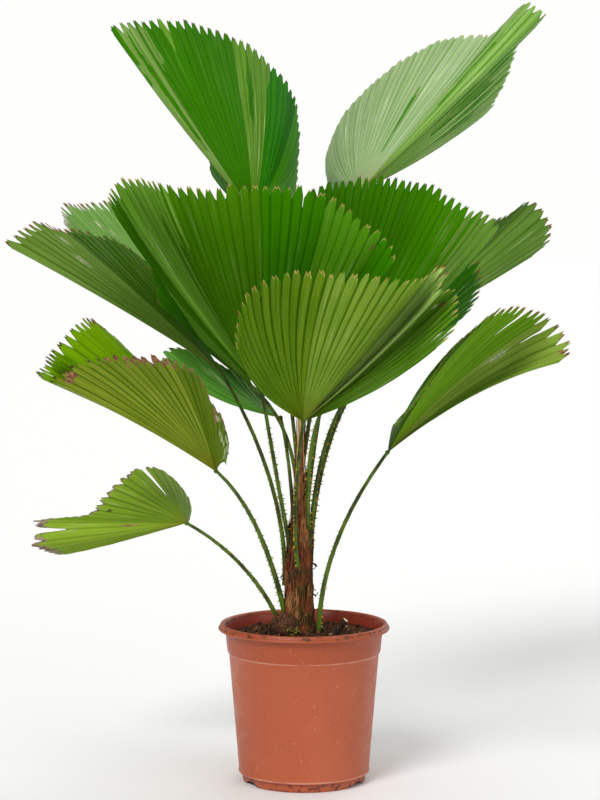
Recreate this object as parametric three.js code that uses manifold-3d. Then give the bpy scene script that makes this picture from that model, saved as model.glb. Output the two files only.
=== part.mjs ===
// A potted ruffled fan palm: one short fibrous trunk in a round nursery pot, with fifteen pleated fans on
// spiny stalks. Millimetres, +Z up, -Y is the front. The origin is the middle of the pot's flat underside.
import * as THREE from 'three';
import { mergeVertices } from 'three/addons/utils/BufferGeometryUtils.js';
import Module from 'manifold-3d';

const wasm = await Module();
wasm.setup();

// Driving dimensions of the pot
const potHeight = 199;
const rimRadius = 107.5;
const footRadius = 77;
const footHeight = 10.5;
const bodyFootRadius = 81.2;
const bodyTopRadius = 94.4;
const stepHeight = 162;
const collarRadius = 99;
const lipHeight = 8.5;
const wallThickness = 2.2;
const floorThickness = 3;
const padRadius = 16;
const drainNotches = { count: 3, width: 28, height: 4.5, depth: 16, firstBearing: -30 };
const potSides = 48;

// Driving dimensions of what stands in the pot
const clearance = 0.3;
const soilRim = 183;
const soilMound = 188;
const moundRadius = 52;
const moundSlope = { run: 18, drop: 2 };
const soilSides = 36;
const trunkLean = { foot: [-7, 0], top: [-4, 4] };
const trunkHeights = [188.3, 200, 225, 252, 278, 300, 322, 345, 368, 392, 418, 446, 470];
const trunkRadii = [23.5, 19.5, 17.5, 16.5, 16, 14.5, 12.5, 9.5, 6.8, 5.4, 4.8, 4.2, 3.6];
const trunkSides = 12;
const fluteDepth = 0.05;
const oldBase = { middle: [-24, -22, 199], size: [18, 14, 14] };
const rootStub = { from: [36, -20, 184], to: [52, -24, 206], radius: 4.2, sides: 8 };

// Driving dimensions shared by the fans and their stalks
const stalkSides = 6;
const stalkSteps = 9;
const stalkTipRadius = 2.3;
const stalkBend = 0.52;
const knuckleRadius = 3;
const toothWidth = 26;
const toothDepth = 0.055;
const pleatDepth = 2.2;
const bladeThicknessShare = 0.01;
const hubThickness = 1.1;
const hubGap = 0.6;
const bladeRows = [0, 0.36, 0.7, 1];

// Each frond: its hub, the reach of its ribs, how far the outer ribs belly out, how high the ribs arch, its
// stalk, and the way its guide ribs point as [bearing, rise] in degrees. Bearing 0 is +X and 90 is +Y. A
// stalk's foot is [bearing, height, share of the trunk's radius out from its axis]. It leaves the trunk at
// the angle leave, bend is the share of its length at which it turns, and sway moves that turn along X.
const fronds = [
  {
    name: 'front', hub: [-1, -125, 463.5], reach: 255, swell: 0.36,
    stalk: { foot: [-80, 252, 0.65], leave: 88, bend: 0.3, sway: -15, radius: 3.4 },
    ribs: [[-109, 23], [-110, 30], [-108, 41], [-97, 46], [-77, 46], [-60, 44], [-44.5, 43.5],
      [-16, 48.5], [-19, 45], [-35.5, 40], [-27, 38.5], [-37.5, 29.5], [-45, 24.5]],
  },
  {
    name: 'front_left', hub: [-51.5, -50, 494], reach: 322, swell: 0.3,
    stalk: { foot: [-160, 292, 0.82], leave: 78, bend: 0.46, sway: -6, radius: 3.4 },
    ribs: [[-141, 45], [-151.5, 52], [-140, 54], [-123.5, 51.5], [-107, 50.5], [-91, 51], [-76, 49.5],
      [-66.5, 47], [-60, 40], [-55.5, 35.5], [-56.5, 30.5]],
  },
  {
    name: 'left', hub: [-103.5, 0, 515.5], reach: 318, swell: -0.06, arch: 0.05,
    stalk: { foot: [180, 246, 1.1], leave: 89, bend: 0.44, sway: 8, radius: 3.6 },
    ribs: [[-101, 17.5], [-104.5, 25.5], [-113, 31.5], [-123, 33.5], [-133, 34.5], [-145, 36],
      [-155, 33.5], [-160, 30]],
  },
  {
    name: 'left_back', hub: [-66, 50, 491.5], reach: 336, swell: 0.08,
    stalk: { foot: [115, 316, 0.8], leave: 88, bend: 0.66, sway: 13, radius: 3 },
    ribs: [[146.5, 32.5], [172, 43], [156, 44], [145, 44.5], [134.5, 43], [123.5, 40.5], [113.5, 40.5],
      [102, 38.5]],
  },
  {
    name: 'high_left', hub: [-63.5, 70, 710], reach: 316, swell: 0.28,
    stalk: { foot: [130, 378, 0.6], leave: 86, sway: -5, radius: 3 },
    ribs: [[102.5, 10.5], [106, 26], [122.5, 38], [149, 48], [156, 49.5], [151.5, 52], [137.5, 53.5],
      [119.5, 54], [100.5, 50], [89, 43.5], [80, 33.5], [78.5, 22.5], [79, 12], [80, 5]],
  },
  {
    name: 'high_right', hub: [69, 45, 738], reach: 335, swell: 0.3,
    stalk: { foot: [50, 386, 0.6], leave: 82, sway: 2, radius: 3 },
    ribs: [[95.5, 2], [97, 8], [94, 16.5], [87.5, 25], [76.5, 33], [62, 38.5], [46.5, 39], [36, 43],
      [21, 46.5], [15, 42.5], [35.5, 36.5], [42.5, 31], [49, 24.5], [54.5, 19.5]],
  },
  {
    name: 'right_upper', hub: [39, 8, 490], reach: 316, swell: 0.25,
    stalk: { foot: [-40, 318, 1.2], leave: 88, bend: 0.77, sway: -11, radius: 3.2 },
    ribs: [[-100, 52.5], [-88.5, 55.5], [-70, 57], [-51.5, 54], [-44, 46.5], [-34.5, 41]],
  },
  {
    name: 'right_middle', hub: [62, 50, 490.5], reach: 262, swell: 0.1,
    stalk: { foot: [-5, 286, 0.9], leave: 84, bend: 0.66, sway: -6, radius: 3 },
    ribs: [[78, 48], [52, 50], [38, 45], [36.5, 36], [41.5, 27], [49.5, 19.5]],
  },
  {
    name: 'right_back', hub: [125, 130, 556], reach: 300, swell: 0.15,
    stalk: { foot: [32, 268, 1], leave: 90, bend: 0.62, sway: 7, radius: 3.2 },
    ribs: [[71, 24.5], [59.5, 28.5], [51, 31.5], [41.5, 35], [37, 29.5], [40, 23], [46, 19.5]],
  },
  {
    name: 'right_low', hub: [103.5, -20, 415.5], reach: 268, swell: -0.05, arch: 0.2,
    stalk: { foot: [-25, 189, 1.46], leave: 86, bend: 0.46, sway: -7, radius: 3.8 },
    ribs: [[-90, 12.5], [-82.5, 21], [-74.5, 31], [-63.5, 38.5], [-49, 44], [-31, 43], [-20, 39],
      [-18, 32.5], [-25.5, 28]],
  },
  {
    name: 'left_low', hub: [-108.5, -40, 394.5], reach: 252, swell: 0.05, arch: 0.12,
    stalk: { foot: [190, 190, 0.66], leave: 78, bend: 0.67, radius: 4.6 },
    ribs: [[-85, 8], [-84.5, 13.5], [-86, 20], [-89.5, 25.5], [-92, 31], [-97.5, 35.5], [-107.5, 38.5],
      [-122.5, 38], [-140.5, 34.5], [-152.5, 28.5], [171.5, 30], [-176.5, 36.5], [-177, 44.5],
      [163.5, 48.5], [136.5, 40.5], [123.5, 33]],
  },
  {
    name: 'left_lowest', hub: [-147, 0, 324.5], reach: 212, swell: 0.1,
    stalk: { foot: [170, 190, 1.04], leave: 64, bend: 0.54, sway: 6, radius: 3.6 },
    ribs: [[92, -4.5], [91.5, 1], [97, 8.5], [105, 13.5], [114.5, 12.5], [123, 6.5], [132, -1.5],
      [146.5, -2], [163, -2], [164.5, -10.5], [148, -15.5], [131, -14.5]],
  },
  {
    name: 'back_low_left', hub: [-29.5, 40, 453.5], reach: 222, swell: 0.2, arch: -0.18,
    stalk: { foot: [150, 306, 0.65], leave: 86, bend: 0.6, radius: 3 },
    ribs: [[139.5, 15.5], [138.5, 20.5], [130.5, 21], [119, 17.5], [112, 14], [104, 10], [98.5, 6]],
  },
  {
    name: 'back', hub: [4, 120, 500], reach: 275, swell: 0.2,
    stalk: { foot: [90, 262, 0.6], leave: 80, radius: 3.4 },
    ribs: [[140, 24], [122, 36], [105, 44], [86, 45], [66, 40], [50, 28]],
  },
  {
    name: 'back_low', hub: [22, 90, 462], reach: 245, swell: 0.15,
    stalk: { foot: [75, 224, 0.6], leave: 82, radius: 3.6 },
    ribs: [[104, 14], [97, 25], [84, 29], [70, 27], [58, 18]],
  },
];

const plastic = new THREE.MeshStandardMaterial({ color: 0xba6244, roughness: 0.45, metalness: 0 });
const peat = new THREE.MeshStandardMaterial({ color: 0x2b1a10, roughness: 0.95, metalness: 0 });
const fibre = new THREE.MeshStandardMaterial({ color: 0x6e4a30, roughness: 0.9, metalness: 0 });
const stalkGreen = new THREE.MeshStandardMaterial({ color: 0x4a6a24, roughness: 0.5, metalness: 0 });
const leafGreen = new THREE.MeshStandardMaterial({ color: 0x4c8226, roughness: 0.45, metalness: 0 });

// Closed meshes and solids
function asSolid(geometry) {
  const bare = geometry.clone();
  bare.deleteAttribute('normal');
  bare.deleteAttribute('uv');
  const merged = mergeVertices(bare, 1e-4);
  return new wasm.Manifold(new wasm.Mesh({
    numProp: 3,
    vertProperties: new Float32Array(merged.attributes.position.array),
    triVerts: new Uint32Array(merged.index.array),
  }));
}

function asGeometry(solid) {
  const mesh = solid.getMesh();
  const geometry = new THREE.BufferGeometry();
  geometry.setAttribute('position', new THREE.BufferAttribute(new Float32Array(mesh.vertProperties), 3));
  geometry.setIndex(new THREE.BufferAttribute(new Uint32Array(mesh.triVerts), 1));
  geometry.computeVertexNormals();
  return geometry;
}

// Cuts each neighbour away and keeps the largest piece, so that a scrap is dropped
function trimmed(solid, neighbours) {
  const cut = neighbours.reduce((left, neighbour) => left.subtract(neighbour), solid);
  return cut.decompose().reduce((best, piece) => (piece.volume() > best.volume() ? piece : best));
}

function fromRings(rings, sides) {
  const points = rings.flat();
  const faces = [];
  for (let ring = 0; ring < rings.length - 1; ring++) {
    for (let side = 0; side < sides; side++) {
      const next = (side + 1) % sides;
      const a = ring * sides + side;
      const b = ring * sides + next;
      faces.push(a, b, b + sides, a, b + sides, a + sides);
    }
  }
  const last = (rings.length - 1) * sides;
  for (let side = 1; side < sides - 1; side++) {
    faces.push(0, side + 1, side, last, last + side, last + side + 1);
  }
  const geometry = new THREE.BufferGeometry().setFromPoints(points);
  geometry.setIndex(faces);
  return geometry;
}

function pointing(bearing, rise) {
  const turn = THREE.MathUtils.degToRad(bearing);
  const climb = THREE.MathUtils.degToRad(rise);
  return new THREE.Vector3(
    Math.cos(climb) * Math.cos(turn), Math.cos(climb) * Math.sin(turn), Math.sin(climb));
}

// The pot: a turned wall with a stepped collar and a double lip, on a foot ring with drain notches
function potSolid() {
  const lipFoot = potHeight - lipHeight;
  const inner = (radius) => radius - wallThickness;
  const floorUnder = footHeight - floorThickness;
  const profile = [
    [0, 0], [padRadius, 0], [padRadius + 3, floorUnder],
    [footRadius - 4, floorUnder], [footRadius - 3, 0], [footRadius, 0],
    [footRadius + 1, footHeight], [bodyFootRadius, footHeight + 0.4],
    [bodyFootRadius + 0.6, footHeight + 2], [bodyTopRadius, stepHeight],
    [bodyTopRadius + 0.9, stepHeight + 1.6], [bodyTopRadius + 1.6, stepHeight + 3.6],
    [collarRadius, lipFoot], [rimRadius - 1.2, lipFoot + 0.3], [rimRadius, lipFoot + 1.6],
    [rimRadius - 0.3, lipFoot + 4], [rimRadius - 2.2, lipFoot + 4.9], [rimRadius - 2.4, lipFoot + 6.6],
    [rimRadius - 4, potHeight], [rimRadius - 6.5, potHeight - 0.3], [rimRadius - 8.2, potHeight - 2.4],
    [inner(collarRadius), lipFoot - 1], [inner(bodyTopRadius), stepHeight + 1],
    [inner(bodyFootRadius), footHeight + 4], [inner(bodyFootRadius) - 3, footHeight], [0, footHeight],
  ].map(([radius, height]) => new THREE.Vector2(radius, height));
  const turned = new THREE.LatheGeometry(profile, potSides).rotateX(Math.PI / 2);
  const notch = new THREE.BoxGeometry(drainNotches.depth, drainNotches.width, 2 * drainNotches.height);
  let solid = asSolid(turned);
  for (let index = 0; index < drainNotches.count; index++) {
    const bearing = THREE.MathUtils.degToRad(drainNotches.firstBearing + (index * 360) / drainNotches.count);
    const cutter = notch.clone()
      .translate(footRadius, 0, 0)
      .rotateZ(bearing);
    solid = solid.subtract(asSolid(cutter));
  }
  return solid;
}

function soilSolid(grow) {
  const innerFoot = bodyFootRadius - wallThickness - clearance;
  const innerTop = bodyTopRadius - wallThickness - clearance;
  const innerRim = innerTop + ((collarRadius - bodyTopRadius) * (soilRim - stepHeight)) /
    (potHeight - lipHeight - stepHeight);
  const profile = [
    [0, footHeight + clearance], [innerFoot - 3.2, footHeight + clearance],
    [innerFoot - 0.4, footHeight + 4.2], [innerTop - 0.4, stepHeight + 1], [innerRim - 1.4, soilRim + grow],
    [moundRadius + moundSlope.run, soilMound - moundSlope.drop + grow],
    [moundRadius, soilMound + grow], [0, soilMound + grow],
  ].map(([radius, height]) => new THREE.Vector2(radius, height));
  return asSolid(new THREE.LatheGeometry(profile, soilSides).rotateX(Math.PI / 2));
}

// The trunk, round and tapering, leans a little from its foot to its tip
function trunkAxis(height) {
  const first = trunkHeights[0];
  const share = (height - first) / (trunkHeights.at(-1) - first);
  return new THREE.Vector3(
    THREE.MathUtils.lerp(trunkLean.foot[0], trunkLean.top[0], share),
    THREE.MathUtils.lerp(trunkLean.foot[1], trunkLean.top[1], share), height);
}

function trunkSolid(grow) {
  const rings = trunkHeights.map((height, level) => {
    const middle = trunkAxis(height);
    if (level === 0) middle.z -= grow;
    if (level === trunkHeights.length - 1) middle.z += grow;
    return Array.from({ length: trunkSides }, (_, side) => {
      const turn = (side / trunkSides) * 2 * Math.PI;
      const flute = 1 + fluteDepth * Math.sin(3 * turn + level);
      const radius = trunkRadii[level] * flute + grow;
      return middle.clone().add(new THREE.Vector3(Math.cos(turn) * radius, Math.sin(turn) * radius, 0));
    });
  });
  return asSolid(fromRings(rings, trunkSides));
}

function oldBaseSolid() {
  const lump = new THREE.SphereGeometry(1, 14, 9).scale(...oldBase.size).translate(...oldBase.middle);
  return asSolid(lump);
}

function rootStubSolid() {
  const path = new THREE.LineCurve3(new THREE.Vector3(...rootStub.from), new THREE.Vector3(...rootStub.to));
  return limbSolid(path, 3, rootStub.sides, () => rootStub.radius);
}

// A limb: rings of points along a curve, with a radius that changes along it
function limbSolid(path, steps, sides, radiusAt) {
  const frames = path.computeFrenetFrames(steps, false);
  const rings = [];
  for (let step = 0; step <= steps; step++) {
    const middle = path.getPointAt(step / steps);
    const radius = radiusAt(step / steps);
    rings.push(Array.from({ length: sides }, (_, side) => {
      const turn = (side / sides) * 2 * Math.PI;
      return middle.clone()
        .addScaledVector(frames.normals[step], Math.cos(turn) * radius)
        .addScaledVector(frames.binormals[step], Math.sin(turn) * radius);
    }));
  }
  return asSolid(fromRings(rings, sides));
}

// A stalk leaves the trunk steeply, then leans out to its hub
function stalkPath({ hub, stalk }) {
  const { bend = stalkBend, sway = 0, leave } = stalk;
  const [bearing, height, out] = stalk.foot;
  const level = trunkHeights.findIndex((trunkHeight) => trunkHeight > height);
  const start = trunkAxis(height).addScaledVector(pointing(bearing, 0), trunkRadii[level] * out);
  const end = new THREE.Vector3(...hub);
  const heading = Math.atan2(end.y - start.y, end.x - start.x);
  const turn = start.clone().addScaledVector(
    pointing(THREE.MathUtils.radToDeg(heading), leave), start.distanceTo(end) * bend);
  turn.x += sway;
  return new THREE.QuadraticBezierCurve3(start, turn, end);
}

// It ends in a knuckle at the hub, which the fan's root wraps
function stalkSolid(frond, grow) {
  const radiusAt = (share) => THREE.MathUtils.lerp(frond.stalk.radius, stalkTipRadius, share ** 0.7) + grow;
  const knuckle = new THREE.SphereGeometry(knuckleRadius + grow, 7, 5).translate(...frond.hub);
  return limbSolid(stalkPath(frond), stalkSteps, stalkSides, radiusAt).add(asSolid(knuckle));
}

// A fan's rib directions run smoothly through its guide ribs, and are spaced evenly round its margin
function fanDirections(ribs, count) {
  const curve = new THREE.CatmullRomCurve3(
    ribs.map(([bearing, rise]) => pointing(bearing, rise)), false, 'catmullrom', 0.5);
  curve.arcLengthDivisions = 400;
  const length = curve.getLength();
  const columns = Math.max(4, 2 * Math.round((count * length) / 2));
  return Array.from({ length: columns + 1 }, (_, column) => curve.getPointAt(column / columns).normalize());
}

// A fan: pleated ribs that spread from the hub, with a toothed margin and the thickness of a thin blade
function bladeSolid({ hub, reach, ribs, swell, arch = 0 }) {
  const directions = fanDirections(ribs, (2 * reach) / toothWidth);
  const last = directions.length - 1;
  const middle = directions.reduce((sum, way) => sum.add(way), new THREE.Vector3()).normalize();
  const onBlade = (column, share) => {
    const way = directions[column];
    const outward = way.clone().addScaledVector(middle, -way.dot(middle));
    const ridge = column % 2 === 1;
    const length = reach * (ridge ? 1 : 1 - toothDepth);
    const along = THREE.MathUtils.lerp(knuckleRadius + hubGap, length, share);
    return new THREE.Vector3(...hub)
      .addScaledVector(way, along)
      .addScaledVector(outward, reach * swell * share * (1 - share))
      .add(new THREE.Vector3(0, 0, reach * arch * share * (1 - share)));
  };
  const faceNormal = (column, share) => {
    const before = onBlade(Math.max(0, column - 2), share);
    const after = onBlade(Math.min(last, column + 2), share);
    const across = after.sub(before);
    const along = onBlade(column, Math.min(1, share + 0.1)).sub(onBlade(column, Math.max(0, share - 0.1)));
    return across.cross(along).normalize();
  };
  const rows = bladeRows.length;
  const sheet = (side) => directions.flatMap((_, column) => bladeRows.map((share) => {
    const fold = (column % 2 === 1 ? 0.5 : -0.5) * pleatDepth * share;
    const thickness = THREE.MathUtils.lerp(hubThickness, reach * bladeThicknessShare, Math.min(1, share * 2));
    return onBlade(column, share).addScaledVector(faceNormal(column, share), fold + (side * thickness) / 2);
  }));
  const points = [...sheet(1), ...sheet(-1)];
  const under = directions.length * rows;
  const faces = [];
  const quad = (a, b, c, d) => faces.push(a, b, c, a, c, d);
  for (let column = 0; column < last; column++) {
    for (let row = 0; row < rows - 1; row++) {
      const corner = column * rows + row;
      quad(corner, corner + rows, corner + rows + 1, corner + 1);
      quad(under + corner, under + corner + 1, under + corner + rows + 1, under + corner + rows);
    }
    const foot = column * rows;
    const tip = foot + rows - 1;
    quad(foot, under + foot, under + foot + rows, foot + rows);
    quad(tip, tip + rows, under + tip + rows, under + tip);
  }
  for (let row = 0; row < rows - 1; row++) {
    const end = last * rows + row;
    quad(row, row + 1, under + row + 1, under + row);
    quad(end, under + end, under + end + 1, end + 1);
  }
  const geometry = new THREE.BufferGeometry().setFromPoints(points);
  geometry.setIndex(faces);
  return asSolid(geometry);
}

const group = new THREE.Group();

function add(name, solid, material) {
  const mesh = new THREE.Mesh(asGeometry(solid), material);
  mesh.name = name;
  group.add(mesh);
}

const trunkRoom = trunkSolid(clearance);
const soilRoom = soilSolid(clearance);
add('pot', potSolid(), plastic);
add('soil', soilSolid(0), peat);
add('trunk', trunkSolid(0), fibre);

// Each stalk gives way to the trunk, the soil and the stalks already placed
const placed = [trunkRoom, soilRoom];
const stalkRooms = fronds.map((frond) => stalkSolid(frond, clearance));
fronds.forEach((frond, index) => {
  add(`stalk_${frond.name}`, trimmed(stalkSolid(frond, 0), placed), stalkGreen);
  placed.push(stalkRooms[index]);
});
fronds.forEach((frond, index) => {
  add(`fan_${frond.name}`, trimmed(bladeSolid(frond), [stalkRooms[index]]), leafGreen);
});
add('old_base', trimmed(oldBaseSolid(), placed), fibre);
add('root_stub', trimmed(rootStubSolid(), [soilRoom]), fibre);

export default group;
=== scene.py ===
import random
from bisect import bisect_right
from math import atan2, cos, degrees, exp, hypot, pi, radians, sin, sqrt

import bmesh
import bpy
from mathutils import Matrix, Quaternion, Vector, noise


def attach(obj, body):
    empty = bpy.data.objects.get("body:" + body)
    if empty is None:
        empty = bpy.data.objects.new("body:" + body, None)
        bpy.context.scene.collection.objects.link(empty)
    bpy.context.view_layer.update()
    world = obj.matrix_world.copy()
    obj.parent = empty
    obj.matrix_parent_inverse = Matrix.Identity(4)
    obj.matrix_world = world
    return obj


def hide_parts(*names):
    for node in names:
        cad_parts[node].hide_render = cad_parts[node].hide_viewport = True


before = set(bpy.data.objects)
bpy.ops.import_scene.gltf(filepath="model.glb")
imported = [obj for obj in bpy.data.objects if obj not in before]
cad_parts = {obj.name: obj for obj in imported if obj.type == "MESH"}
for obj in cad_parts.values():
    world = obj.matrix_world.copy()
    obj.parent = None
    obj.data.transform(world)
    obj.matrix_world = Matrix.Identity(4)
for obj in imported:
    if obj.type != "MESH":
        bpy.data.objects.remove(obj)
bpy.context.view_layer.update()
mm = 0.001
noise.seed_set(5)  # or the vector noise differs in each run
print("frame loaded:", len(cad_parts), "nodes")


def addObject(name, data):
    made = bpy.data.objects.new(name, data)
    bpy.context.scene.collection.objects.link(made)
    return made


# camera and studio
shot = {"eye": (-0.005, -3.0, 0.72), "tiltDown": 4.59, "lens": 108.6, "sensor": 36}

cameraData = bpy.data.cameras.new("shotCamera")
cameraData.lens = shot["lens"]
cameraData.sensor_width = shot["sensor"]
camera = addObject("shotCamera", cameraData)
camera.location = shot["eye"]
camera.rotation_euler = (radians(90 - shot["tiltDown"]), 0, 0)
bpy.context.scene.camera = camera

studio = {
    # the backdrop is bright, and the light that it gives is weaker than it looks
    "backdrop": (1.0, 0.995, 0.985), "skyColour": (1.0, 0.99, 0.97), "skyStrength": 0.42,
    "floorSize": 60, "floorShade": 0.84, "floorGap": 0.0004,
    # where each lamp's light comes from, how soft it is in degrees, and its strength
    "lamps": {
        "keyLamp": ((-1.2, -2.2, 2.0), 24, 2.0),
        "fillLamp": ((1.8, -2.2, 0.9), 60, 0.85),
        "topLamp": ((0, 0.3, 3.0), 60, 0.7),
        "backLamp": ((0.9, 2.0, 1.5), 45, 0.5),
    },
}

world = bpy.data.worlds.new("studioSky")
world.use_nodes = True
skyTree = world.node_tree
sky = skyTree.nodes["Background"]
sky.inputs["Color"].default_value = (*studio["skyColour"], 1)
sky.inputs["Strength"].default_value = studio["skyStrength"]
paper = skyTree.nodes.new("ShaderNodeBackground")
paper.inputs["Color"].default_value = (*studio["backdrop"], 1)
seen = skyTree.nodes.new("ShaderNodeLightPath")
either = skyTree.nodes.new("ShaderNodeMixShader")
for source, socket in zip((seen.outputs["Is Camera Ray"], sky.outputs[0], paper.outputs[0], either.outputs[0]),
                          (*either.inputs[:3], skyTree.nodes["World Output"].inputs[0])):
    skyTree.links.new(source, socket)
bpy.context.scene.world = world
bpy.context.scene.view_settings.view_transform = "Standard"

for name, (place, softness, strength) in studio["lamps"].items():
    lampData = bpy.data.lights.new(name, "SUN")
    lampData.angle = radians(softness)
    lampData.energy = strength
    lamp = addObject(name, lampData)
    lamp.location = place
    lamp.rotation_euler = (-Vector(place)).to_track_quat("-Z", "Y").to_euler()


# shader helpers
def tint(red, green, blue):  # a colour as a screen shows it, 0 to 255
    def linear(part):
        part /= 255
        return part / 12.92 if part < 0.04 else ((part + 0.055) / 1.055) ** 2.4
    return (linear(red), linear(green), linear(blue), 1)


def toned(colour, red, green, blue):  # a colour with its parts made stronger or weaker
    return tuple(min(1, part * times) for part, times in zip(colour, (red, green, blue, 1)))


def startMaterial(name, roughness, gloss=0.5):  # the helpers below work on its nodes
    global tree
    material = bpy.data.materials.new(name)
    material.use_nodes = True
    tree = material.node_tree
    shader = tree.nodes["Principled BSDF"]
    shader.inputs["Roughness"].default_value = roughness
    shader.inputs["Specular IOR Level"].default_value = gloss
    return material, shader


def feed(socket, value):
    if isinstance(value, bpy.types.NodeSocket):
        tree.links.new(value, socket)
    else:
        socket.default_value = value


def calc(operation, *values):
    node = tree.nodes.new("ShaderNodeMath")
    node.operation = operation
    for socket, value in zip(node.inputs, values):
        feed(socket, value)
    return node.outputs[0]


def times(first, second):
    return calc("MULTIPLY", first, second)


def ramp(value, low, high, start=0.0, end=1.0):
    node = tree.nodes.new("ShaderNodeMapRange")
    node.interpolation_type = "SMOOTHSTEP"
    for index, part in enumerate((value, low, high, start, end)):
        feed(node.inputs[index], part)
    return node.outputs[0]


def mixed(share, first, second):
    node = tree.nodes.new("ShaderNodeMix")
    node.data_type = "RGBA"
    for index, part in ((0, share), (6, first), (7, second)):
        feed(node.inputs[index], part)
    return node.outputs[2]


def over(base, colour, value, low, high, most=1.0):  # a colour laid over the base as a value rises
    return mixed(ramp(value, low, high, 0, most), base, colour)


def cloud(vector, scale, detail=3.0, roughness=0.55):
    node = tree.nodes.new("ShaderNodeTexNoise")
    feed(node.inputs["Vector"], vector)
    node.inputs["Scale"].default_value = scale
    node.inputs["Detail"].default_value = detail
    node.inputs["Roughness"].default_value = roughness
    return node.outputs["Fac"]


def combined(x, y, z=0.0):
    node = tree.nodes.new("ShaderNodeCombineXYZ")
    for socket, value in zip(node.inputs, (x, y, z)):
        feed(socket, value)
    return node.outputs[0]


def objectPlace(stretch=(1, 1, 1)):
    place = tree.nodes.new("ShaderNodeTexCoord")
    mapping = tree.nodes.new("ShaderNodeMapping")
    mapping.inputs["Scale"].default_value = stretch
    tree.links.new(place.outputs["Object"], mapping.inputs["Vector"])
    return mapping.outputs[0]


def addRelief(shader, height, distance, strength=0.6):
    bump = tree.nodes.new("ShaderNodeBump")
    bump.inputs["Strength"].default_value = strength
    bump.inputs["Distance"].default_value = distance
    feed(bump.inputs["Height"], height)
    tree.links.new(bump.outputs[0], shader.inputs["Normal"])


def mottledMaterial(name, first, second, roughness, gloss, scale, detail, low, high, relief=None):
    # two colours in clouds, and relief as its clouds' scale, their detail, depth and strength
    material, shader = startMaterial(name, roughness, gloss)
    colour = over(first, second, cloud(objectPlace(), scale, detail), low, high)
    tree.links.new(colour, shader.inputs["Base Color"])
    if relief:
        addRelief(shader, cloud(objectPlace(), *relief[:2]), *relief[2:])
    return material


def wobble(x, y, z):  # smooth noise, about -1 to 1
    return noise.noise(Vector((x, y, z)))


# mesh helpers
def addMesh(name, bm, materials):
    mesh = bpy.data.meshes.new(name)
    bm.to_mesh(mesh)
    bm.free()
    for material in materials:
        mesh.materials.append(material)
    return addObject(name, mesh)


def finishPiece(name, bm, materials, replaced):
    piece = addMesh(name, bm, materials)
    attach(piece, "root")
    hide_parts(replaced)
    print(name, len(piece.data.polygons), "faces")


def layGrid(bm, columns, rows):  # a flat grid, as {(column, row): vertex}
    made = bmesh.ops.create_grid(bm, x_segments=columns, y_segments=rows, size=1, calc_uvs=True)
    grid = {}
    for vert in made["verts"]:
        grid[round((vert.co.x + 1) / 2 * columns), round((vert.co.y + 1) / 2 * rows)] = vert
    return grid


def facesOf(verts):
    return {face for vert in verts for face in vert.link_faces}


def closeTube(bm, grid, columns, rows, material=0):  # welds a rolled grid's seam and closes both ends
    bmesh.ops.weld_verts(bm, targetmap={grid[columns, row]: grid[0, row] for row in range(rows + 1)})
    rings = [[grid[column, row] for column in range(columns)] for row in range(rows + 1)]
    faces = facesOf(vert for ring in rings for vert in ring)
    faces.update(bm.faces.new(ring) for ring in (rings[0], rings[-1]))
    bmesh.ops.recalc_face_normals(bm, faces=list(faces))
    for face in faces:
        face.material_index = material
        face.smooth = len(face.verts) == 4
    return faces


def sweepTube(bm, centres, radii, sides, material=0, flatness=1.0):  # a tube along a path
    rows = len(centres) - 1
    grid = layGrid(bm, sides, rows)
    lift = Vector((0.31, 0.17, 0.93))
    for row, (centre, radius) in enumerate(zip(centres, radii)):
        ahead = (centres[min(row + 1, rows)] - centres[max(row - 1, 0)]).normalized()
        side = ahead.cross(lift)
        side = side.normalized() if side.length > 0.05 else ahead.orthogonal().normalized()
        lift = side.cross(ahead)
        for column in range(sides + 1):
            turn = 2 * pi * column / sides
            grid[column, row].co = centre + side * cos(turn) * radius + lift * sin(turn) * radius * flatness
    return closeTube(bm, grid, sides, rows, material)


def spinProfile(bm, profile, steps):  # turned round the upright axis, in mm
    verts = [bm.verts.new((radius * mm, 0, height * mm)) for radius, height in profile]
    edges = [bm.edges.new(pair) for pair in zip(verts, verts[1:])]
    bmesh.ops.spin(bm, geom=verts + edges, cent=(0, 0, 0), axis=(0, 0, 1), angle=2 * pi,
                   steps=steps, use_merge=True)
    bmesh.ops.remove_doubles(bm, verts=bm.verts[:], dist=1e-6)
    bmesh.ops.recalc_face_normals(bm, faces=bm.faces[:])
    for face in bm.faces:
        face.smooth = True


def pointing(bearing, rise):
    turn, climb = radians(bearing), radians(rise)
    return Vector((cos(climb) * cos(turn), cos(climb) * sin(turn), sin(climb)))


def anyVector(draw, *spans):
    return Vector([draw.uniform(*span) for span in spans])


def lerp(first, second, share):
    return first + (second - first) * share


# floor
bm = bmesh.new()
bmesh.ops.create_grid(bm, x_segments=2, y_segments=2, size=studio["floorSize"] / 2)
floorMaterial, floorShader = startMaterial("floorPaper", 0.8, 0.2)
floorShader.inputs["Base Color"].default_value = (*[studio["floorShade"]] * 3, 1)
floor = addMesh("studioFloor", bm, [floorMaterial])
floor.location.z = -studio["floorGap"]

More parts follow.
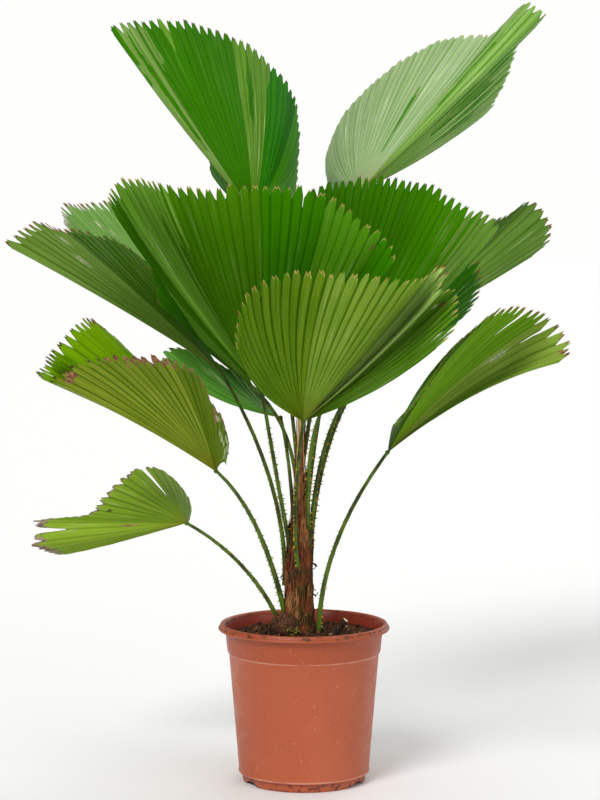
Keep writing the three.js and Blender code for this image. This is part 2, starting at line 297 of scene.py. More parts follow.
# pot
pot = {
    "steps": 168, "plastic": tint(164, 77, 43), "bright": tint(182, 92, 58),
    # the pale rubbed colour serves the rubbed streaks and the painted highlight on the step and the bead
    "insideShade": tint(150, 46, 14), "rubbedAndHighlight": tint(226, 166, 146), "speck": tint(96, 52, 34), "earth": tint(58, 34, 22),
    # heights in metres of what the looks mark, as from, full, full to and end
    "collar": (0.161, 0.166), "step": (0.1608, 0.1618, 0.1624, 0.1634), "bead": (0.0112, 0.0122, 0.0128, 0.0138),
    "groove": (0.1925, 0.195, 0.197, 0.1992), "footEarth": (0.0135, 0.007), "innerWall": (0.02, 0.197),
    "notches": 3, "notchBearing": -30, "notchHalfWidth": 14, "notchHeight": 4.5, "ringReach": 72,
    "profile": [
        (0, 0), (15.4, 0), (16.4, 1), (19, 7.5), (72.6, 7.5), (73.6, 0.8), (74.4, 0), (76.4, 0), (77, 0.6),
        (77.4, 4), (78, 9.6), (78.8, 10.3), (81.1, 10.6), (82.3, 11.4), (82.7, 12.6), (82.3, 13.8), (82, 15),
        (84.7, 48.7), (88.3, 91.6), (91.6, 130.4), (94.1, 160), (94.7, 161.6), (95.5, 162.6), (96.1, 163.8),
        (96.4, 165.4), (97.5, 176), (98.8, 189), (99.3, 190.2), (100.5, 190.8), (105.5, 190.8),
        (106.9, 191.1), (107.5, 192), (107.5, 193.3), (107, 194.3), (105.9, 194.9), (105.2, 195.4),
        (105.1, 196.4), (104.9, 197.6), (104.2, 198.6), (102.9, 199), (101.5, 198.8), (100.3, 198),
        (99.4, 196.6), (96.8, 189), (94.5, 175), (92.5, 163), (89.4, 130.4), (86.1, 91.6), (82.5, 48.7),
        (79, 14.5), (78, 11.8), (75.8, 10.5), (0, 10.5)],
}


def potMaterial(name, plain, bright):
    material, shader = startMaterial(name, 0.42, 0.45)
    place = objectPlace()
    split = tree.nodes.new("ShaderNodeSeparateXYZ")
    tree.links.new(place, split.inputs[0])
    height = split.outputs[2]

    def band(low, full, fullTo, high):  # 1 between two heights, and 0 beyond
        return times(ramp(height, low, full), ramp(height, high, fullTo))

    colour = over(plain, bright, cloud(place, 9), 0.35, 0.7, 0.35)
    # painted shade: the pot is darker from the collar up, as under the lip and the leaves
    colour = over(colour, toned(plain, 0.84, 0.72, 0.55), height, *pot["collar"], 0.8)
    # pale rubbed streaks and dark specks
    colour = over(colour, pot["rubbedAndHighlight"], cloud(objectPlace((1, 1, 0.4)), 420, 2), 0.66, 0.74, 0.28)
    colour = over(colour, pot["speck"], cloud(place, 260, 2), 0.7, 0.75, 0.7)
    # a painted highlight along the edge of the step and of the foot's bead, pale and broken by clouds
    edges = calc("MAXIMUM", band(*pot["step"]), band(*pot["bead"]))
    rubbedAndHighlight = times(edges, ramp(cloud(place, 45), 0.3, 0.6, 0.1, 0.5))
    colour = mixed(rubbedAndHighlight, colour, pot["rubbedAndHighlight"])
    # earth in the groove of the lip and on the foot
    grimy = calc("MAXIMUM", band(*pot["groove"]), ramp(height, *pot["footEarth"]))
    dirty = times(grimy, ramp(cloud(place, 130, 4), 0.5, 0.62))
    colour = mixed(times(dirty, 0.8), colour, pot["earth"])
    tree.links.new(colour, shader.inputs["Base Color"])
    tree.links.new(ramp(cloud(place, 60), 0.3, 0.7, 0.36, 0.5), shader.inputs["Roughness"])
    addRelief(shader, cloud(place, 700, 2), 0.0002, 0.25)
    return material


bm = bmesh.new()
spinProfile(bm, pot["profile"], pot["steps"])
for vert in bm.verts:  # drain arches in the foot ring
    radius = hypot(vert.co.x, vert.co.y) / mm
    if radius > pot["ringReach"] and vert.co.z < pot["notchHeight"] * mm:
        bearing = degrees(atan2(vert.co.y, vert.co.x)) - pot["notchBearing"]
        every = 360 / pot["notches"]
        away = abs((bearing + every / 2) % every - every / 2)
        reach = degrees(pot["notchHalfWidth"] / radius)
        if away < reach:
            arch = pot["notchHeight"] * min(1, 2.2 * (1 - away / reach)) * mm
            vert.co.z = max(vert.co.z, arch)
# painted shade: the inner wall above the earth gets a darker copy of the plastic
for face in bm.faces:  # the inner wall is darker
    centre = face.calc_center_median()
    inward = face.normal.x * centre.x + face.normal.y * centre.y < 0
    if inward and pot["innerWall"][0] < centre.z < pot["innerWall"][1]:
        face.material_index = 1
finishPiece("nurseryPot", bm, [potMaterial("terracottaPlastic", pot["plastic"], pot["bright"]),
                               potMaterial("innerPlasticShade", pot["insideShade"], pot["insideShade"])], "pot")
print("pot done")

# soil
soil = {
    "steps": 120, "edgeRadius": 95.6, "edgeHeight": 183, "moundRadius": 52, "moundHeight": 188, "rings": 34,
    "underside": [(94.8, 176), (91.6, 160), (81.9, 48), (78.3, 15), (76.5, 11), (0, 11)],
    "chips": 520, "chipLength": (2, 9), "chipReach": 90, "seed": 5,
    "threads": 130, "threadReach": 88, "threadEnd": 91,
    "peat": tint(44, 27, 17), "crumb": tint(74, 45, 28), "bark": tint(118, 76, 46), "pale": tint(176, 150, 112),
}


def groundHeight(radius):  # of the smooth mound, in mm
    share = min(1, max(0, (radius - soil["moundRadius"]) / (soil["edgeRadius"] - soil["moundRadius"])))
    return lerp(soil["moundHeight"], soil["edgeHeight"], share)


def earthMaterial(name, colour, dark, scale):
    return mottledMaterial(name, dark, colour, 0.9, 0.25, scale, 5, 0.35, 0.68, (scale * 2.5, 4, 0.0012, 0.8))


draw = random.Random(soil["seed"])
bm = bmesh.new()
profile = [(soil["edgeRadius"] * ring / soil["rings"], groundHeight(soil["edgeRadius"] * ring / soil["rings"]))
           for ring in range(soil["rings"] + 1)]
spinProfile(bm, profile + soil["underside"], soil["steps"])
for vert in bm.verts:
    radius = hypot(vert.co.x, vert.co.y) / mm
    if vert.co.z > 0.18 and radius < soil["edgeRadius"] - 1:
        spot = Vector((vert.co.x, vert.co.y, 0))
        vert.co.z += (noise.noise(spot * 60) * 2.2 + noise.noise(spot * 210) * 1.5 - 0.8) * mm
for _ in range(soil["chips"]):  # bark chips and crumbs
    radius = soil["chipReach"] * sqrt(draw.random())
    turn = draw.uniform(0, 2 * pi)
    length = draw.uniform(*soil["chipLength"]) * draw.uniform(0.5, 1)
    made = bmesh.ops.create_cube(bm, size=1)["verts"]
    bmesh.ops.scale(bm, verts=made, vec=(length * mm, length * draw.uniform(0.3, 0.7) * mm,
                                         draw.uniform(0.8, 2.2) * mm))
    for vert in made:
        vert.co += noise.noise_vector(vert.co * 900 + Vector((radius, turn, 0))) * 0.7 * mm
    spin = anyVector(draw, (-1, 1), (-1, 1), (-1, 1)).normalized()
    bmesh.ops.rotate(bm, verts=made, matrix=spin.to_track_quat("Z", "X").to_matrix(), cent=(0, 0, 0))
    bmesh.ops.translate(bm, verts=made, vec=Vector((cos(turn) * radius, sin(turn) * radius,
                                                    groundHeight(radius) + draw.uniform(-0.6, 1.4))) * mm)
    kind = draw.choices((1, 2, 3), (6, 5, 0.5))[0]
    for face in facesOf(made):
        face.material_index = kind
for _ in range(soil["threads"]):  # thin old roots in the peat
    radius = soil["threadReach"] * sqrt(draw.random())
    turn, way = draw.uniform(0, 7), draw.uniform(0, 7)
    length, bow = draw.uniform(6, 20), draw.uniform(-0.6, 0.6)
    points = [Vector((cos(turn) * radius + cos(way + bow * step) * length * (step / 5 - 0.5),
                      sin(turn) * radius + sin(way + bow * step) * length * (step / 5 - 0.5), 0))
              for step in range(6)]
    for step, point in enumerate(points):
        point.z = groundHeight(point.length) + 0.5 + 1.6 * sin(step / 5 * pi)
    if max(point.xy.length for point in points) < soil["threadEnd"]:
        sweepTube(bm, [point * mm for point in points], [0.35 * mm] * 6, 3, 2)
finishPiece("peatSurface", bm, [
    earthMaterial("darkPeat", soil["crumb"], soil["peat"], 190),
    earthMaterial("peatCrumb", soil["crumb"], soil["peat"], 260),
    earthMaterial("barkChip", soil["bark"], soil["crumb"], 220),
    earthMaterial("paleChip", soil["pale"], soil["bark"], 240)], "soil")
print("soil done")

# trunk, with its relief of torn sheaths and fibre
trunk = {
    "foot": (-7, 0), "top": (-4, 4), "columns": 110, "rows": 190, "seed": 11,
    "heights": [188.3, 200, 225, 252, 278, 300, 322, 345, 368, 392, 418, 446, 470],
    "radii": [23.5, 19.5, 17.5, 16.5, 16, 14.5, 12.5, 9.5, 6.8, 5.4, 4.8, 4.2, 3.6],
    "sheaths": 10, "sheathFrom": 205, "sheathEvery": 24, "sheathTurn": 137.5, "sheathStep": 1.5,
    "fibres": 260, "fibresBetween": (192, 455), "fibreRadius": 0.32, "flapGrid": (16, 12), "flapThickness": 0.5,
    # torn sheath flaps: bearing, half width in degrees, from, to, how far the top stands off
    "flaps": [(-62, 34, 300, 372, 3.4), (-30, 24, 352, 402, 2.6), (-118, 40, 196, 268, 4), (160, 38, 286, 330, 3.2),
              (75, 40, 240, 310, 3.6), (20, 36, 262, 322, 3.2), (-80, 30, 392, 446, 1.8), (120, 36, 380, 436, 2),
              (30, 30, 414, 458, 1.6), (-160, 36, 236, 282, 3.2), (-40, 30, 214, 256, 3)],
    # curled strips: middle, size and how often each turns
    "curls": [(11.5, -4, 270, 4.4, 1.2), (13, -5, 238, 4.6, -0.9), (11, -4, 232, 3.6, 0.8),
              (-26.5, -5, 256, 3.2, 1.1)],
    "brown": tint(76, 54, 18), "dark": tint(34, 24, 10), "rust": tint(116, 56, 24), "tan": tint(150, 100, 58),
    "pale": tint(232, 192, 134), "straw": tint(196, 158, 106), "bleached": tint(196, 150, 108),
    "tanFrom": 350, "paleFrom": 388,
}


def trunkAxis(height):
    share = (height - trunk["heights"][0]) / (trunk["heights"][-1] - trunk["heights"][0])
    return Vector((*Vector(trunk["foot"]).lerp(Vector(trunk["top"]), share), height))


def trunkRadius(height):
    heights, radii = trunk["heights"], trunk["radii"]
    for level in range(1, len(heights)):
        if height <= heights[level] or level == len(heights) - 1:
            share = (height - heights[level - 1]) / (heights[level] - heights[level - 1])
            return lerp(radii[level - 1], radii[level], min(1, max(0, share)))


def fibreMaterial(name, colour, dark, warm):
    material, shader = startMaterial(name, 0.85, 0.25)
    strands = cloud(objectPlace((1, 1, 0.12)), 620, 4)
    crossed = cloud(objectPlace((1, 1, 0.35)), 380, 3)
    patches = cloud(objectPlace(), 55, 3)
    base = over(colour, warm, patches, 0.42, 0.62)
    base = over(base, dark, strands, 0.55, 0.38)
    base = over(base, trunk["bleached"], crossed, 0.62, 0.75, 0.45)
    tree.links.new(base, shader.inputs["Base Color"])
    addRelief(shader, calc("ADD", strands, crossed), 0.0011, 0.9)
    return material


trunkBrown = fibreMaterial("trunkFibre", trunk["brown"], trunk["dark"], trunk["rust"])
trunkTan = fibreMaterial("drySheath", trunk["tan"], trunk["brown"], trunk["rust"])
trunkPale = fibreMaterial("paleSheath", trunk["pale"], trunk["straw"], trunk["straw"])


draw = random.Random(trunk["seed"])
sheaths = [(trunk["sheathFrom"] + trunk["sheathEvery"] * ring, radians(trunk["sheathTurn"] * ring),
            draw.uniform(8, 15)) for ring in range(trunk["sheaths"])]


def trunkSkin(around, up):
    height = lerp(trunk["heights"][0] - 3, trunk["heights"][-1], up)
    turn = 2 * pi * around
    way = Vector((cos(turn), sin(turn), 0))
    seed = way * 3 + Vector((0, 0, height * 0.02))
    step = 0
    for edge, bearing, tilt in sheaths:
        below = edge + tilt * cos(turn - bearing) + 4 * noise.noise(way * 5 + Vector((0, 0, edge))) - height
        if below > 0:
            step += exp(-below / 9)
    across = way * 16 + Vector((0, 0, height * 0.06))
    relief = 0.9 * noise.noise(across) + 0.6 * noise.noise(way * 34 + Vector((0, 0, height * 0.16)))
    size = min(1, trunkRadius(height) / 12)
    radius = trunkRadius(height) - 0.5 + size * (trunk["sheathStep"] * step + relief + noise.noise(seed) * 1.2)
    return (trunkAxis(height) + way * radius) * mm


bm = bmesh.new()
grid = layGrid(bm, trunk["columns"], trunk["rows"])
for (column, row), vert in grid.items():
    vert.co = trunkSkin(column / trunk["columns"], row / trunk["rows"])
for face in closeTube(bm, grid, trunk["columns"], trunk["rows"]):
    face.smooth = True
    centre = face.calc_center_median()
    level = centre.z / mm + 26 * wobble(centre.x * 160, centre.y * 160, centre.z * 18)
    face.material_index = 2 if level > trunk["paleFrom"] else 1 if level > trunk["tanFrom"] else 0
for bearing, halfWidth, low, high, lift in trunk["flaps"]:
    before = set(bm.faces)
    columns, rows = trunk["flapGrid"]
    grid = layGrid(bm, columns, rows)
    for column in range(columns + 1):
        turn = radians(bearing + halfWidth * (2 * column / columns - 1) * draw.uniform(0.92, 1.05))
        top = lerp(low, high, draw.uniform(0.62, 1.0) if column % 3 else draw.uniform(0.5, 0.8))
        bottom = low - 6 + 16 * wobble(column * 0.45, low, 3)
        for row in range(rows + 1):
            up = row / rows
            height = lerp(bottom, top, up)
            narrow = 1 - 0.35 * up
            angle = radians(bearing) + (turn - radians(bearing)) * narrow
            off = trunkRadius(height) + 0.9 + lift * up ** 2 + 0.5 * wobble(column, row * 0.4, low)
            if row == 0:
                off -= 2.5
            grid[column, row].co = (trunkAxis(height) + pointing(degrees(angle), 0) * off) * mm
    flap = [face for face in bm.faces if face not in before]
    bmesh.ops.solidify(bm, geom=flap, thickness=trunk["flapThickness"] * mm)
    flap = [face for face in bm.faces if face not in before]
    flap.sort(key=lambda face: sorted(tuple(vert.co) for vert in face.verts))  # or each run colours other faces
    bmesh.ops.recalc_face_normals(bm, faces=flap)
    for face in flap:
        face.material_index = 1 if draw.random() < 0.85 or low > 280 else 0
        face.smooth = True
for _ in range(trunk["fibres"]):  # loose strands
    height = draw.uniform(*trunk["fibresBetween"])
    turn, drift = draw.uniform(0, 2 * pi), draw.uniform(-0.5, 0.5)
    length, lift = draw.uniform(9, 32), draw.choice((0.6, 0.8, 1.2, 2.5)) * draw.uniform(0.6, 1.4)
    points = []
    for step in range(7):
        share = step / 6
        level = min(466, height + length * share * (1 - 0.2 * share * lift / 3))
        radius = trunkRadius(level) + 0.9 + lift * share ** 2
        points.append((trunkAxis(level) + pointing(degrees(turn + drift * share), 0) * radius) * mm)
    sweepTube(bm, points, [trunk["fibreRadius"] * mm * (1 - 0.6 * step / 6) for step in range(7)], 3,
              1 if height > 330 or draw.random() < 0.3 else 0)
for x, y, z, size, turns in trunk["curls"]:  # thin strips that curl away from it
    points = []
    for step in range(17):
        turn = turns * 2 * pi * step / 16
        reach = size * (1 - 0.45 * step / 16)
        points.append(Vector((x + reach * cos(turn), y + step * 0.2, z + reach * sin(turn))) * mm)
    sweepTube(bm, points, [0.55 * mm] * 17, 4, 0, 1.6)
finishPiece("fibreTrunk", bm, [trunkBrown, trunkTan, trunkPale], "trunk")
print("trunk done")

# old stem base and cut root
oldBase = {
    "middle": (-24, -22, 199), "size": (18, 14, 14), "strands": 90, "seed": 23,
    "scraps": 16, "scrapsAt": (-18, -33, 192),
    "brown": tint(86, 54, 38), "dark": tint(40, 24, 18), "warm": tint(116, 74, 50),
    "scrap": tint(150, 156, 40), "scrapDark": tint(92, 96, 30),
}


def onOldBase(way, size):
    return Vector([middle + part * extent * size for middle, part, extent
                   in zip(oldBase["middle"], way, oldBase["size"])]) * mm


draw = random.Random(oldBase["seed"])
bm = bmesh.new()
made = bmesh.ops.create_icosphere(bm, subdivisions=5, radius=1)["verts"]
for vert in made:
    way = vert.co.copy()
    ridge = wobble(way.x * 5, way.y * 5, way.z * 22) * 0.05 + noise.noise(way * 2.2) * 0.12
    size = 0.97 + ridge + 0.03 * noise.noise(way * 14)
    vert.co = onOldBase(way, size)
for face in bm.faces:
    face.smooth = True
for _ in range(oldBase["strands"]):
    start = pointing(draw.uniform(0, 360), draw.uniform(-20, 80))
    drift = anyVector(draw, (-1, 1), (-1, 1), (-1, 0.4)) * 0.9
    points = []
    for step in range(6):
        way = (start + drift * step / 5).normalized() * (1.02 + draw.uniform(0, 0.05))
        points.append(onOldBase(way, 1))
    sweepTube(bm, points, [0.3 * mm] * 6, 3, draw.choice((0, 0, 1)))
for _ in range(oldBase["scraps"]):  # yellow-green scraps of an old shoot, at its right foot
    place = Vector(oldBase["scrapsAt"]) + anyVector(draw, (-7, 12), (-3, 3), (-3, 4))
    way = anyVector(draw, (-1, 1), (-0.5, 0.5), (-0.3, 1)).normalized()
    points = [(place + way * step * 1.3) * mm for step in range(5)]
    sweepTube(bm, points, [size * mm for size in (0.5, 0.9, 1.0, 0.8, 0.2)], 5, 2, 0.5)
scrap = mottledMaterial("yellowScrap", oldBase["scrap"], oldBase["scrapDark"], 0.6, 0.5, 300, 3, 0.4, 0.6)
baseBrown = fibreMaterial("oldStemFibre", oldBase["brown"], oldBase["dark"], oldBase["warm"])
finishPiece("oldStemBase", bm, [baseBrown, trunkTan, scrap], "old_base")

rootStub = {
    "from": (36, -20, 184), "to": (52, -24, 206), "radius": 4.2, "narrows": 0.16, "rows": 24, "sides": 24,
    "rind": tint(46, 34, 26), "rindDark": tint(20, 14, 10), "rindWarm": tint(64, 46, 34),
    "cut": tint(226, 216, 180), "cutDark": tint(160, 140, 96),
}
bm = bmesh.new()
shares = [row / rootStub["rows"] for row in range(rootStub["rows"] + 1)]
centres = [Vector(rootStub["from"]).lerp(Vector(rootStub["to"]), share) * mm for share in shares]
radii = [rootStub["radius"] * mm * (1 - rootStub["narrows"] * share) for share in shares]
stubFaces = sweepTube(bm, centres, radii, rootStub["sides"])
for vert in bm.verts:
    vert.co += noise.noise_vector(vert.co * 420) * 0.5 * mm
for face in stubFaces:
    if len(face.verts) > 4 and face.calc_center_median().z > 0.2:
        face.material_index = 1
rind = fibreMaterial("rootRind", rootStub["rind"], rootStub["rindDark"], rootStub["rindWarm"])
cut = mottledMaterial("rootCut", rootStub["cut"], rootStub["cutDark"], 0.7, 0.5, 500, 3, 0.4, 0.65)
finishPiece("cutRoot", bm, [rind, cut], "root_stub")
print("base and root done")

# stalks
stalkStyle = {
    "tip": 2.3, "bend": 0.52, "knuckle": 3.0, "rows": 44, "sides": 14, "flatness": 0.86,
    "thornStep": 4.2, "thornLength": 3.3, "thornRadius": 1.15, "thornFrom": 0.05, "thornTo": 0.8, "thornTurn": 52,
    "green": tint(80, 108, 26), "deep": tint(44, 62, 14), "worn": tint(106, 80, 34),
    "speck": tint(64, 50, 30), "amber": tint(206, 166, 48), "amberDark": tint(84, 76, 20),
}


def stalkMaterial():
    material, shader = startMaterial("stalkGreen", 0.5, 0.18)
    place = objectPlace()
    along = cloud(objectPlace((1, 1, 0.2)), 90, 3)
    colour = over(stalkStyle["green"], stalkStyle["deep"], along, 0.38, 0.62)
    worn = cloud(objectPlace((1, 1, 0.08)), 260, 3)
    colour = over(colour, stalkStyle["worn"], worn, 0.55, 0.72, 0.6)
    colour = over(colour, stalkStyle["speck"], cloud(place, 420, 2), 0.66, 0.74, 0.5)
    tree.links.new(colour, shader.inputs["Base Color"])
    addRelief(shader, cloud(objectPlace((1, 1, 0.06)), 800, 2), 0.0003, 0.4)
    return material


stalkMaterials = [stalkMaterial(), mottledMaterial("amberThorn", stalkStyle["amber"], stalkStyle["amberDark"], 0.5,
                                                   0.2, 160, 2, 0.4, 0.62)]


def stalkPoints(spec):  # leaves the trunk steeply, then leans out to the hub
    bearing, height, out = spec["foot"]
    level = next(index for index, mark in enumerate(trunk["heights"]) if mark > height)
    start = trunkAxis(height) + pointing(bearing, 0) * trunk["radii"][level] * out
    end = Vector(spec["hub"])
    heading = degrees(atan2(end.y - start.y, end.x - start.x))
    turn = start + pointing(heading, spec["leave"]) * (end - start).length * spec.get("bend", stalkStyle["bend"])
    turn.x += spec.get("sway", 0)
    shares = [row / stalkStyle["rows"] for row in range(stalkStyle["rows"] + 1)]
    return [start * (1 - share) ** 2 + turn * 2 * share * (1 - share) + end * share ** 2 for share in shares]


def makeStalk(name, spec):
    draw = random.Random("stalk " + name)
    rows = stalkStyle["rows"]
    points = [point * mm for point in stalkPoints(spec)]
    radii = [lerp(spec["thick"], stalkStyle["tip"], (row / rows) ** 0.7) * mm for row in range(rows + 1)]
    bm = bmesh.new()
    sweepTube(bm, points, radii, stalkStyle["sides"], 0, stalkStyle["flatness"])
    for vert in bm.verts:
        vert.co += noise.noise_vector(vert.co * 130) * 0.25 * mm
    made = bmesh.ops.create_icosphere(bm, subdivisions=3, radius=stalkStyle["knuckle"] * mm)["verts"]
    bmesh.ops.translate(bm, verts=made, vec=points[-1])
    for face in facesOf(made):
        face.smooth = True
    # thorns stand along both edges
    length, travelled = sum((second - first).length for first, second in zip(points, points[1:])), 0
    due = length * stalkStyle["thornFrom"]
    flat = (points[-1] - points[0]).cross(Vector((0, 0, 1))).normalized()
    for row in range(rows):
        travelled += (points[row + 1] - points[row]).length
        if travelled < due or travelled > length * stalkStyle["thornTo"]:
            continue
        due = travelled + stalkStyle["thornStep"] * mm * draw.uniform(0.6, 1.3)
        ahead = (points[row + 1] - points[row]).normalized()
        side = (flat - ahead * flat.dot(ahead)).normalized()
        side.rotate(Quaternion(ahead, radians(stalkStyle["thornTurn"])))
        for hand in (-1, 1):
            size = stalkStyle["thornLength"] * draw.uniform(0.6, 1.25) * (1.15 - 0.5 * travelled / length)
            root = points[row] + ahead * draw.uniform(-2, 2) * mm
            way = (side * hand - ahead * draw.uniform(0.2, 0.6)).normalized()
            made = bmesh.ops.create_cone(bm, cap_ends=True, segments=5, radius1=stalkStyle["thornRadius"] * mm,
                                         radius2=0.08 * mm, depth=(size + 1) * mm)["verts"]
            bmesh.ops.rotate(bm, verts=made, cent=(0, 0, 0), matrix=way.to_track_quat("Z", "X").to_matrix())
            bmesh.ops.translate(bm, verts=made, vec=root + way * (radii[row] * 0.9 + (size - 1) / 2 * mm))
            for face in facesOf(made):
                face.material_index = 1
    finishPiece(name + "Stalk", bm, stalkMaterials, "stalk_" + name)


# fans
fanStyle = {
    "pleatWidth": 13.3, "start": 2.2, "thickness": 0.5, "fold": 0.085, "tilt": 0.05, "wave": 2.2, "uvUnits": 64,
    "shift": 0.14, "stretch": 0.006, "deeper": (0.75, 1.2),  # how much one pleat differs from the next
    # scuff is the pale colour of scuffs and of the painted sheen streaks on the leaves
    "gloss": 0.07, "ior": 1.25, "glossTint": (0.9, 1.0, 0.5, 1), "scuff": tint(196, 214, 158),
    # across one pleat: where its columns stand, how high, and how far each falls short of the tips
    "across": [0, 0.07, 0.2, 0.36, 0.5, 0.64, 0.8, 0.93],
    "pleat": [-1, -0.3, 0.75, 0.95, 0.8, 0.95, 0.75, -0.3],
    "teeth": [1, 0.8, 0.42, 0, 0.2, 0, 0.42, 0.8],
    "creases": (0, 2, 6),
    "rows": [0, 0.03, 0.07, 0.12, 0.18, 0.24, 0.3, 0.36, 0.42, 0.48, 0.54, 0.6, 0.66, 0.72, 0.77, 0.82, 0.86,
             0.895, 0.925, 0.945, 0.962, 0.976, 0.986, 0.994, 1],
}

# colour, how far a pleat's flat band is painted lighter and its valley painted darker, as light and shade on the
# folds, pale scuffs and painted sheen, dark lines, roughness
leafTones = dict(
    frontShade=(90, 126, 18, 0.75, 0.1, 0.6, 0.5),
    frontPale=(116, 150, 44, 0.8, 0.25, 0.5, 0.48),
    # painted light: a much paler tone where the front fan's fold lies in shade
    frontFold=(186, 222, 120, 0.25, 0.3, 0.5, 0.5),
    frontSheen=(140, 172, 84, 0.5, 0.5, 0.6, 0.46),
    frontDeep=(82, 124, 24, 0.95, 0.3, 0.7, 0.48),
    foldShade=(66, 124, 8, 0.5, 0.1, 0.7, 0.5),
    # a painted sheen: the pale band on the front-left fan
    glossBand=(112, 166, 48, 0.4, 0.6, 0.6, 0.4),
    plainLeaf=(72, 128, 6, 0.34, 0.16, 0.24, 0.44),
    vividLeaf=(56, 128, 0, 0.32, 0.08, 0.24, 0.44),
    flapLeaf=(80, 142, 18, 0.35, 0.25, 0.3, 0.42),
    leftPale=(112, 148, 54, 0.5, 0.35, 0.7, 0.44),
    leftShade=(66, 108, 20, 0.6, 0.15, 0.9, 0.46),
    # a painted reflection of the sky: a pale bluish sheen on the left back fan
    bluish=(116, 160, 78, 0.4, 0.8, 0.5, 0.34),
    highStrip=(104, 140, 60, 0.45, 0.9, 0.9, 0.42),
    highLeaf=(48, 110, 0, 0.4, 0.12, 0.6, 0.46),
    highRidge=(88, 134, 34, 0.45, 0.6, 0.7, 0.42),
    highDeep=(36, 116, 0, 0.45, 0.04, 0.7, 0.5),
    highEdge=(70, 150, 4, 0.45, 0.1, 0.7, 0.5),
    # a painted sheen: mint whitens the high right fan as its gloss reflects the light, and mintShade is its copy in
    # shade
    mint=(146, 174, 118, 0.5, 1.0, 1.1, 0.36),
    mintShade=(116, 160, 68, 0.7, 0.9, 1.4, 0.36),
    mintPatch=(66, 128, 16, 0.5, 0.6, 1.3, 0.44),
    upperLeaf=(66, 134, 2, 0.4, 0.14, 0.28, 0.44),
    # a painted reflection: the paler ribs at the right of the right upper fan
    upperPale=(104, 150, 52, 0.45, 0.5, 0.6, 0.42),
    shade=(38, 92, 4, 0.5, 0.25, 0.7, 0.44),
    backPale=(92, 130, 46, 0.45, 0.4, 0.6, 0.42),
    lowShade=(46, 84, 4, 0.6, 0.05, 0.8, 0.46),
    lowLeaf=(98, 144, 26, 0.55, 0.15, 0.55, 0.44),
    lowPale=(122, 150, 54, 0.45, 0.25, 0.5, 0.44),
    yellowLeaf=(120, 142, 34, 0.85, 0.12, 0.9, 0.5),
    yellowShade=(90, 118, 10, 0.6, 0.05, 0.8, 0.5),
    brightLeaf=(124, 172, 8, 0.5, 0.12, 0.6, 0.44),
    limeLeaf=(122, 152, 40, 0.45, 0.3, 0.5, 0.46),
    limeShade=(122, 156, 38, 0.5, 0.35, 0.7, 0.46),
    # a painted sheen: the pale grey-green gloss of the low back left fan
    lowBluish=(84, 144, 46, 0.45, 0.6, 0.7, 0.4),
)
# dry parts: light and dark
dryTones = dict(
    tipBrown=((142, 92, 56), (92, 54, 34)),
    tipAmber=((196, 180, 100), (150, 128, 60)),
    tipDark=((84, 70, 36), (46, 42, 22)),
    tattered=((168, 122, 90), (110, 70, 48)),
    greyBrown=((150, 132, 112), (92, 76, 62)),
    scuff=((184, 192, 148), (140, 156, 100)),
)


